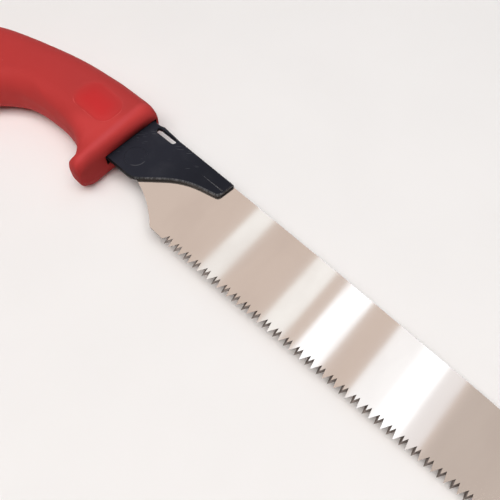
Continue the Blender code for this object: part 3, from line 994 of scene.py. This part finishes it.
    def ring(self, station: Station, rounding: float | None = None) -> list[Vector]:
        """Rounded section at a station.

        Args:
            station: Top, bottom, half thickness and bottom rounding.
            rounding: Radius of all corners, or None for the grip's own.

        Returns:
            Points in metres, once round.
        """
        top, bottom, half, low_round = station
        up = (top - bottom).normalized()
        height = (top - bottom).length
        squeeze = min(1.0, half / self.half_thickness)
        side = min(rounding or self.round_side * squeeze, self.corner_share * half)
        most = self.corner_share * height / 2
        low = min(rounding or low_round * squeeze, most)
        high = min(rounding or self.round_top * squeeze, most)
        corners = (
            (1, low, low, 270, self.flank_steps),
            (1, height - high, high, 0, self.edge_steps),
            (-1, height - high, high, 90, self.flank_steps),
            (-1, low, low, 180, self.edge_steps),
        )
        arcs: list[list[Vector]] = []
        for sign, centre, reach, start, _ in corners:
            arc: list[Vector] = []
            for step in range(self.corner_steps + 1):
                angle = math.radians(start + 90 * step / self.corner_steps)
                along = bottom + up * (centre + reach * math.sin(angle))
                across = sign * (half - side) + side * math.cos(angle)
                arc.append(PIN + Vector((along.x, along.y, across)) * MM)
            arcs.append(arc)
        points: list[Vector] = []
        for index, arc in enumerate(arcs):
            points += arc
            onward = arcs[(index + 1) % len(arcs)][0]
            steps = corners[index][4]
            points += [arc[-1].lerp(onward, step / steps) for step in range(1, steps)]
        return points

    def mouth_rings(self) -> list[list[Vector]]:
        """Rings from deep in the mouth out over its rounded lip.

        Returns:
            Points of each ring, in metres.
        """
        rings = [self.mouth_ring(self.mouth_depth, 0.0), self.mouth_ring(2 * self.lip_round, 0.0)]
        for step in range(1, self.corner_steps // 2 + 1):
            turn = math.radians(90 * step / (self.corner_steps // 2))
            inward = self.lip_round * (1 - math.sin(turn))
            rings.append(self.mouth_ring(inward, self.lip_round * (1 - math.cos(turn))))
        rings.append(self.mouth_ring(0.0, self.lip_spread * self.lip_round))
        return rings

    def stations_start(self) -> Station:
        """First full section behind the nose."""
        top, bottom = self.sections[0]
        return Vector(top), Vector(bottom), self.thickness(0), self.round_start

    def mouth_ring(self, inward: float, spread: float) -> list[Vector]:
        """Outline of the mouth behind the face of the nose.

        Args:
            inward: Distance behind that face.
            spread: How much the outline is widened.

        Returns:
            Points in metres, once round.
        """
        face_top, face_bottom, _, _ = self.nose(self.stations_start())[0]
        ends: list[Vector] = []
        for y in (self.mouth_top + spread, self.mouth_bottom - spread):
            share = (y - face_bottom.y) / (face_top.y - face_bottom.y)
            ends.append(Vector((face_bottom.lerp(face_top, share).x - inward, y)))
        return self.ring((ends[0], ends[1], self.mouth_half + spread, 0.0), self.lip_round + spread)

    def inside(self, place: Vector) -> float:
        """How far a point lies inside the pad's outline, seen square to the flank.

        Args:
            place: Point in metres.

        Returns:
            Distance to the outline in millimetres, below 0 outside.
        """
        local = (place - PIN) / MM
        if abs(local.z) < self.half_thickness / 2:
            return -self.pad_corner
        inner_x = abs(local.x - self.pad_centre[0]) - self.pad_reach[0] + self.pad_corner
        inner_y = abs(local.y - self.pad_centre[1]) - self.pad_reach[1] + self.pad_corner
        outside = math.hypot(max(inner_x, 0.0), max(inner_y, 0.0)) + min(max(inner_x, inner_y), 0.0)
        return self.pad_corner - outside

    @staticmethod
    def eased(share: float) -> float:
        """A smooth step from 0 to 1."""
        share = min(1.0, max(0.0, share))
        return share * share * (3 - 2 * share)

    def loft(self) -> Bench:
        """Extrudes the grip ring after ring, from the bottom of its mouth to its tail.

        Returns:
            The bench that holds the grip.
        """
        rings = self.mouth_rings() + [self.ring(station) for station in self.stations()]
        Bench.clear()
        bpy.ops.mesh.primitive_circle_add(vertices=len(rings[0]), radius=self.mouth_half * MM)
        bench = Bench.newest("grip_skin")
        with bench.editing():
            bpy.ops.mesh.select_mode(type="VERT")
            shape = bmesh.from_edit_mesh(bench.thing.data)
            shape.verts.ensure_lookup_table()
            line = list(shape.verts)
            for vert, place in zip(line, rings[0]):
                vert.co = place
            bpy.ops.mesh.select_all(action="SELECT")
            for ring in rings[1:]:
                keys = [vert.index for vert in line]
                bpy.ops.mesh.extrude_region()
                shape = bmesh.from_edit_mesh(bench.thing.data)
                shape.verts.ensure_lookup_table()
                line = [self.follower(shape.verts[key]) for key in keys]
                for vert, place in zip(line, ring):
                    vert.co = place
            bmesh.update_edit_mesh(bench.thing.data)
            bpy.ops.mesh.edge_face_add()
            bpy.ops.mesh.inset(thickness=self.lip_round * MM)
            bench.pick(Part.EDGES, lambda edge: edge.is_boundary)
            bpy.ops.mesh.edge_face_add()
            bpy.ops.mesh.select_all(action="SELECT")
            bpy.ops.mesh.normals_make_consistent(inside=False)
        return bench

    @staticmethod
    def follower(vert: bmesh.types.BMVert) -> bmesh.types.BMVert:
        """The selected point that an extrusion drew out of a point."""
        return next(edge.other_vert(vert) for edge in vert.link_edges if edge.other_vert(vert).select)

    def sink_pads(self, bench: Bench) -> None:
        """Sinks a pad into each flank, with sloping edges.

        Args:
            bench: Holds the grip.
        """
        for vert in bench.thing.data.vertices:
            side = 1 if vert.co.z > PIN.z else -1
            vert.co.z -= side * self.pad_depth * MM * self.eased(self.inside(vert.co) / self.pad_slope)

    def bore_hang_hole(self, bench: Bench) -> None:
        """Bores the hole in the tail and rounds its rims.

        Args:
            bench: Holds the grip.
        """
        top, bottom = (Vector(point) for point in self.sections[-1])
        centre = (top + bottom) / 2
        place = PIN + Vector((centre.x, centre.y, 0.0)) * MM
        Bench.clear()
        radius = self.hang_radius * MM
        sizes = {"vertices": self.hole_steps, "radius": radius, "depth": 4 * self.half_thickness * MM}
        bpy.ops.mesh.primitive_cylinder_add(**sizes, location=place)
        bench.cut(Bench.newest("hang_drill"))

        def on_rim(edge: bmesh.types.BMEdge) -> bool:
            """Whether an edge lies on a rim of the hole.

            Args:
                edge: Edge to test.

            Returns:
                Whether it does.
            """
            if len(edge.link_faces) != 2 or edge.calc_face_angle() < math.radians(self.hang_rim_angle):
                return False
            spans = [(vert.co - place).to_2d().length - radius for vert in edge.verts]
            return max(map(abs, spans)) < self.hang_rim_slack * MM

        with bench.editing():
            bench.pick(Part.EDGES, on_rim)
            bpy.ops.mesh.bevel(
                offset=self.hang_rim * MM, segments=self.hang_rim_steps, affect="EDGES", clamp_overlap=True
            )

    @staticmethod
    def mark(bench: Bench, name: str, measure: Callable[[Vector], float]) -> None:
        """Keeps a number at each point of a mesh.

        Args:
            bench: Holds the mesh.
            name: Name of the attribute.
            measure: Gives the number for a point in metres.
        """
        mesh = bench.thing.data
        marks = mesh.attributes.new(name, "FLOAT", "POINT")
        for mark, vert in zip(marks.data, mesh.vertices):
            mark.value = measure(vert.co)

    def on_pad(self, place: Vector) -> float:
        """How much a point belongs to a pad, growing from the pad's edge to its middle.

        Args:
            place: Point in metres.

        Returns:
            The share, 0 outside.
        """
        depth = self.inside(place)
        edge = self.pad_edge_share * self.eased(depth / self.pad_slope)
        return edge + (1 - self.pad_edge_share) * self.eased(depth / self.pad_fade)

    def in_mouth(self, place: Vector) -> float:
        """Whether a point lies on the walls inside the mouth, which get painted shade.

        Args:
            place: Point in metres.

        Returns:
            1 inside and 0 outside.
        """
        slack = self.lip_round / 2
        local = (place - PIN) / MM
        upright = self.mouth_bottom - slack < local.y < self.mouth_top + slack
        ahead = local.x > self.sections[0][0][0] - self.mouth_depth
        return float(upright and ahead and abs(local.z) < self.mouth_half + slack)

    def build(self) -> None:
        """Builds and dresses the grip."""
        bench = self.loft()
        self.round_lower_edge(bench)
        self.sink_pads(bench)
        self.bore_hang_hole(bench)
        self.mark(bench, self.PAD_ATTRIBUTE, self.on_pad)
        self.mark(bench, self.MOUTH_ATTRIBUTE, self.in_mouth)
        bench.smooth(self.smooth_angle)
        bench.thing.data.materials.append(Elastomer().material())
        bench.settle(Body.HANDLE, Slot.ELASTOMER, "grip")


@dataclass
class Holder:
    """Folded black sheet that holds the blade, and the pin across it."""

    edge_round: float = 0.22
    rim_round: float = 0.05
    pin_head: float = 5.5
    pin_spread: float = 1.022
    pin_slack: float = 0.1
    rim_angle: float = 60.0
    sharp_angle: float = 28.0
    hidden_from: float = -14.0
    flat_share: float = 0.97
    window_line: float = 14.5
    front_share: float = 0.8
    snout_share: float = 0.5
    lower_share: float = -0.25
    smooth_angle: float = 35.0

    def build_sheet(self) -> None:
        """Rounds the sheet's edges and gives the sheared ones their streaks."""
        bench = Bench.copy_of("blade_holder", "holder_sheet")
        bench.thing.data.materials.append(SatinCoat().material())
        bench.thing.data.materials.append(ShearedEdge().material())
        with bench.editing():
            bench.pick(Part.EDGES, self.sharp)
            bpy.ops.mesh.bevel(
                offset=self.edge_round * MM, segments=2, affect="EDGES", clamp_overlap=True, miter_outer="ARC"
            )
            bench.dress_second(self.sheared)
        bench.smooth(self.smooth_angle, flats=True)
        bench.settle(Body.HANDLE, Slot.BLACK_COAT, "blade_holder")

    def sharp(self, edge: bmesh.types.BMEdge) -> bool:
        """Whether an edge is a sharp outer one that shows.

        Args:
            edge: Edge to test.

        Returns:
            Whether it is.
        """
        if len(edge.link_faces) != 2 or edge.calc_face_angle_signed() < math.radians(self.sharp_angle):
            return False
        return min(vert.co.x for vert in edge.verts) > PIN.x + self.hidden_from * MM

    def sheared(self, face: bmesh.types.BMFace) -> bool:
        """Whether a face is part of the cheeks' free edges.

        Args:
            face: Face to test.

        Returns:
            Whether it is.
        """
        high = face.calc_center_median().y > PIN.y + self.window_line * MM
        if high and face.normal.x < self.front_share:
            return False
        below = face.normal.y < self.lower_share or face.normal.x > self.snout_share
        return below and abs(face.normal.z) < self.flat_share

    def build_pin(self) -> None:
        """Spreads the pin's riveted heads out to the sheet and rounds their rims."""
        bench = Bench.copy_of("hook_pin", "pin_heads")

        def outer(vert: bmesh.types.BMVert) -> bool:
            """Whether a point lies on a head's outside."""
            return (vert.co - PIN).to_2d().length > (self.pin_head - self.pin_slack) * MM

        def on_rim(edge: bmesh.types.BMEdge) -> bool:
            """Whether an edge lies on a head's outer rim."""
            bent = len(edge.link_faces) == 2 and edge.calc_face_angle() > math.radians(self.rim_angle)
            return bent and all(map(outer, edge.verts))

        with bench.editing():
            bench.pick(Part.VERTS, outer)
            bpy.ops.transform.resize(value=(self.pin_spread, self.pin_spread, 1.0), center_override=PIN)
            bench.pick(Part.EDGES, on_rim)
            bpy.ops.mesh.bevel(offset=self.rim_round * MM, segments=2, affect="EDGES", clamp_overlap=True)
        bench.smooth(self.smooth_angle, flats=True)
        bench.thing.data.materials.append(SatinCoat(name="pin_coat").material())
        bench.settle(Body.HANDLE, Slot.COATED_PIN, "hook_pin")

    def build(self) -> None:
        """Builds and dresses both pieces."""
        self.build_sheet()
        self.build_pin()


@dataclass
class Blade:
    """Bright blade with teeth bevelled on alternate faces."""

    flat_share: float = 0.99
    tooth_zone: float = 1.0
    gullet_line: float = -18.8
    smooth_angle: float = 12.0

    def build(self) -> None:
        """Dresses the sides and the ground faces of the teeth apart."""
        bench = Bench.copy_of("blade", "saw_plate")
        bench.thing.data.materials.append(BrightSteel().material())
        bench.thing.data.materials.append(GroundBevel().material())
        with bench.editing():
            bench.dress_second(self.ground)
        bench.smooth(self.smooth_angle)
        bench.settle(Body.BLADE, Slot.BRIGHT_STEEL, "blade")

    def ground(self, face: bmesh.types.BMFace) -> bool:
        """Whether a face is one of the ground faces among the teeth."""
        height = (face.calc_center_median().y - PIN.y) / MM - self.gullet_line
        return abs(face.normal.z) < self.flat_share and height < self.tooth_zone


class InnerPieces:
    """Core and rivets, which the grip covers."""

    finishes: dict[str, InnerFinish] = {
        "grip_core": InnerFinish("core_plastic", (0.12, 0.12, 0.12), (0.09, 0.09, 0.09), 0.0, 0.5),
        "front_rivet": InnerFinish("front_rivet_zinc", (0.5, 0.5, 0.52), (0.42, 0.42, 0.44), 1.0, 0.32),
        "rear_rivet": InnerFinish("rear_rivet_zinc", (0.5, 0.5, 0.52), (0.42, 0.42, 0.44), 1.0, 0.32),
    }

    def build(self) -> None:
        """Dresses each piece."""
        for node, finish in self.finishes.items():
            frame["nodes"][node].material_slots[0].material = finish.material()
            LOG.info("%s: dressed", node)


@dataclass(frozen=True)
class Strip:
    """Lamp strip that the blade mirrors, placed by where its image lies on the blade."""

    start: float
    end: float
    glow: Colour
    height: float = 0.9


@dataclass
class Studio:
    """Table, lamps, surroundings and camera."""

    aim: Place = (0.1351, -0.0045, 0.014)
    azimuth: float = 42.59
    elevation: float = 62.42
    distance: float = 0.2914
    focal_pixels: float = 644.1
    picture_pixels: float = 500.0
    sensor: float = 36.0
    nearest: float = 0.01
    table_reach: float = 8.0
    table_gap: float = 0.02
    table_middle: Place = (-0.245, 0.0, 0.0)
    table_fade: Point = (0.36, 0.95)
    table: Colour = (0.912, 0.888, 0.876)
    table_mottle: float = 0.985
    table_roughness: float = 0.75
    table_specular: float = 0.2
    surroundings: Colour = (0.08, 0.075, 0.072)
    backdrop: Colour = (0.913, 0.88, 0.855)
    top_place: Place = (0.30, -0.35, 1.6)
    top_aim: Place = (0.08, 0.0, 0.0)
    top_size: Point = (1.83, 1.07)
    top_glow: Colour = (4.72, 4.57, 4.44)
    first_tooth: float = 43.3
    strip_length: float = 1.1
    strip_centre: float = 0.36
    strip_turn: float = 1.9
    strips: tuple[Strip, ...] = (
        Strip(-60.0, 140.0, (0.133, 0.096, 0.076), 1.0),
        Strip(19.3, 29.8, (0.494, 0.728, 0.882)),
        Strip(56.5, 67.9, (0.541, 0.782, 0.942)),
        Strip(74.9, 88.3, (0.987, 1.346, 1.663)),
        Strip(103.4, 116.8, (0.621, 0.891, 1.122)),
        Strip(116.8, 129.2, (0.987, 1.346, 1.663)),
        Strip(129.2, 138.0, (0.366, 0.546, 0.721)),
    )

    def viewpoint(self) -> Vector:
        """Place of the camera.

        Returns:
            The place, in metres.
        """
        turn = math.radians(self.azimuth)
        rise = math.radians(self.elevation)
        back = Vector((math.sin(turn) * math.cos(rise), -math.cos(turn) * math.cos(rise), math.sin(rise)))
        return Vector(self.aim) + back * self.distance

    def build_camera(self) -> None:
        """Sets the camera at the photograph's angle."""
        lens = bpy.data.cameras.new("camera")
        lens.sensor_width = self.sensor
        lens.lens = self.focal_pixels / self.picture_pixels * self.sensor
        lens.clip_start = self.nearest
        camera = bpy.data.objects.new("camera", lens)
        camera.location = self.viewpoint()
        camera.rotation_euler = (Vector(self.aim) - self.viewpoint()).to_track_quat("-Z", "Y").to_euler()
        bpy.context.scene.collection.objects.link(camera)
        bpy.context.scene.camera = camera

    @staticmethod
    def lean() -> float:
        """Slope of the table under the saw, which lies on its grip and on the tip of its blade.

        Returns:
            Rise over run.
        """
        low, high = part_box("blade")
        grip = frame["nodes"]["grip"].data.vertices
        return max((low.z - vert.co.z) / (high.x - vert.co.x) for vert in grip)

    def build_table(self) -> None:
        """Lays the pale table under the saw."""
        Bench.clear()
        low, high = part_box("blade")
        slope = math.atan(self.lean())
        bpy.ops.mesh.primitive_plane_add(size=self.table_reach)
        bench = Bench.newest("table")
        under = Matrix.Translation((high.x, 0.0, low.z - self.table_gap * MM))
        bench.thing.matrix_world = under @ Matrix.Rotation(-slope, 4, "Y")
        shader = Shader("pale_table")
        mottle = shader.noise(60.0, 2.0).rising(0.3, 0.7)
        dull = tuple(self.table_mottle * part for part in self.table)
        shader.dress(
            Base_Color=shader.blend(mottle, self.table, dull),
            Roughness=self.table_roughness,
            Specular_IOR_Level=self.table_specular,
        )
        self.fade_table(shader)
        bench.thing.data.materials.append(shader.owner)

    def fade_table(self, shader: Shader) -> None:
        """Lets the table run into the backdrop away from the saw, where the camera or the metal sees it.

        Args:
            shader: The table's shader.
        """
        ends = {0: shader.place(), 1: self.table_middle}
        away = shader.node("ShaderNodeVectorMath", {"operation": "DISTANCE"}, ends).outputs["Value"]
        far = Value(shader, away).rising(*self.table_fade)
        glow = shader.node("ShaderNodeEmission", None, {"Color": self.backdrop})
        layers = {0: shader.sight() * far, 1: shader.surface.outputs[0], 2: glow.outputs[0]}
        mixed = shader.node("ShaderNodeMixShader", None, layers)
        shader.feed(shader.tree.nodes["Material Output"].inputs["Surface"], mixed.outputs[0])

    def build_lamp(
        self, name: str, place: Vector, aim: Vector, size: Point, radiance: Colour, turn: float = 0.0
    ) -> None:
        """Hangs a rectangular softbox.

        Args:
            name: Name of the lamp.
            place: Its middle.
            aim: Point that it faces.
            size: Width and length in metres.
            radiance: Brightness of its face in each colour.
            turn: How far it is turned about its own axis, in degrees.
        """
        strongest = max(radiance)
        lamp = bpy.data.lights.new(name, "AREA")
        lamp.shape = "RECTANGLE"
        lamp.size, lamp.size_y = size
        lamp.energy = strongest * math.pi * size[0] * size[1]
        lamp.color = tuple(part / strongest for part in radiance)
        thing = bpy.data.objects.new(name, lamp)
        thing.location = place
        roll = Quaternion((0, 0, 1), math.radians(turn))
        thing.rotation_euler = ((aim - place).to_track_quat("-Z", "Y") @ roll).to_euler()
        bpy.context.scene.collection.objects.link(thing)

    def mirrored(self, along: float, height: float) -> float:
        """Where a point above the blade lies, to be seen mirrored in it.

        Args:
            along: Place of the image on the blade, in millimetres from the first tooth.
            height: Height of the point over the blade, in metres.

        Returns:
            The X of the point, in metres.
        """
        x = PIN.x + (along + self.first_tooth) * MM
        eye = self.viewpoint()
        return x + (x - eye.x) * height / (eye.z - PIN.z)

    def build_strips(self) -> None:
        """Hangs the lamp strips over the blade."""
        for index, strip in enumerate(self.strips):
            start, end = (self.mirrored(along, strip.height) for along in (strip.start, strip.end))
            place = Vector(((start + end) / 2, self.strip_centre, PIN.z + strip.height))
            size = (end - start, self.strip_length)
            below = place - Vector((0, 0, 1))
            self.build_lamp(f"strip_{index}", place, below, size, strip.glow, self.strip_turn)

    def build_top_lamp(self) -> None:
        """Hangs the large softbox that lights the saw from above its teeth."""
        self.build_lamp("top", Vector(self.top_place), Vector(self.top_aim), self.top_size, self.top_glow)

    def build_surroundings(self) -> None:
        """Gives the room its warm tone, and a pale backdrop that the camera and the metal see."""
        room = Shader("room", world=True)
        bpy.context.scene.world = room.owner
        room.dress(Color=room.blend(room.sight(), self.surroundings, self.backdrop))

    def build(self) -> None:
        """Builds the whole studio."""
        bpy.context.scene.view_settings.view_transform = "Standard"
        self.build_camera()
        self.build_table()
        self.build_strips()
        self.build_top_lamp()
        self.build_surroundings()


def main() -> None:
    """Builds the saw's pieces and the studio in order."""
    logging.basicConfig(level=logging.INFO, format="%(name)s: %(message)s")
    for assembly in (Studio(), Grip(), Holder(), Blade(), InnerPieces()):
        assembly.build()
        LOG.info("%s built", type(assembly).__name__)


if __name__ == "__main__":
    main()
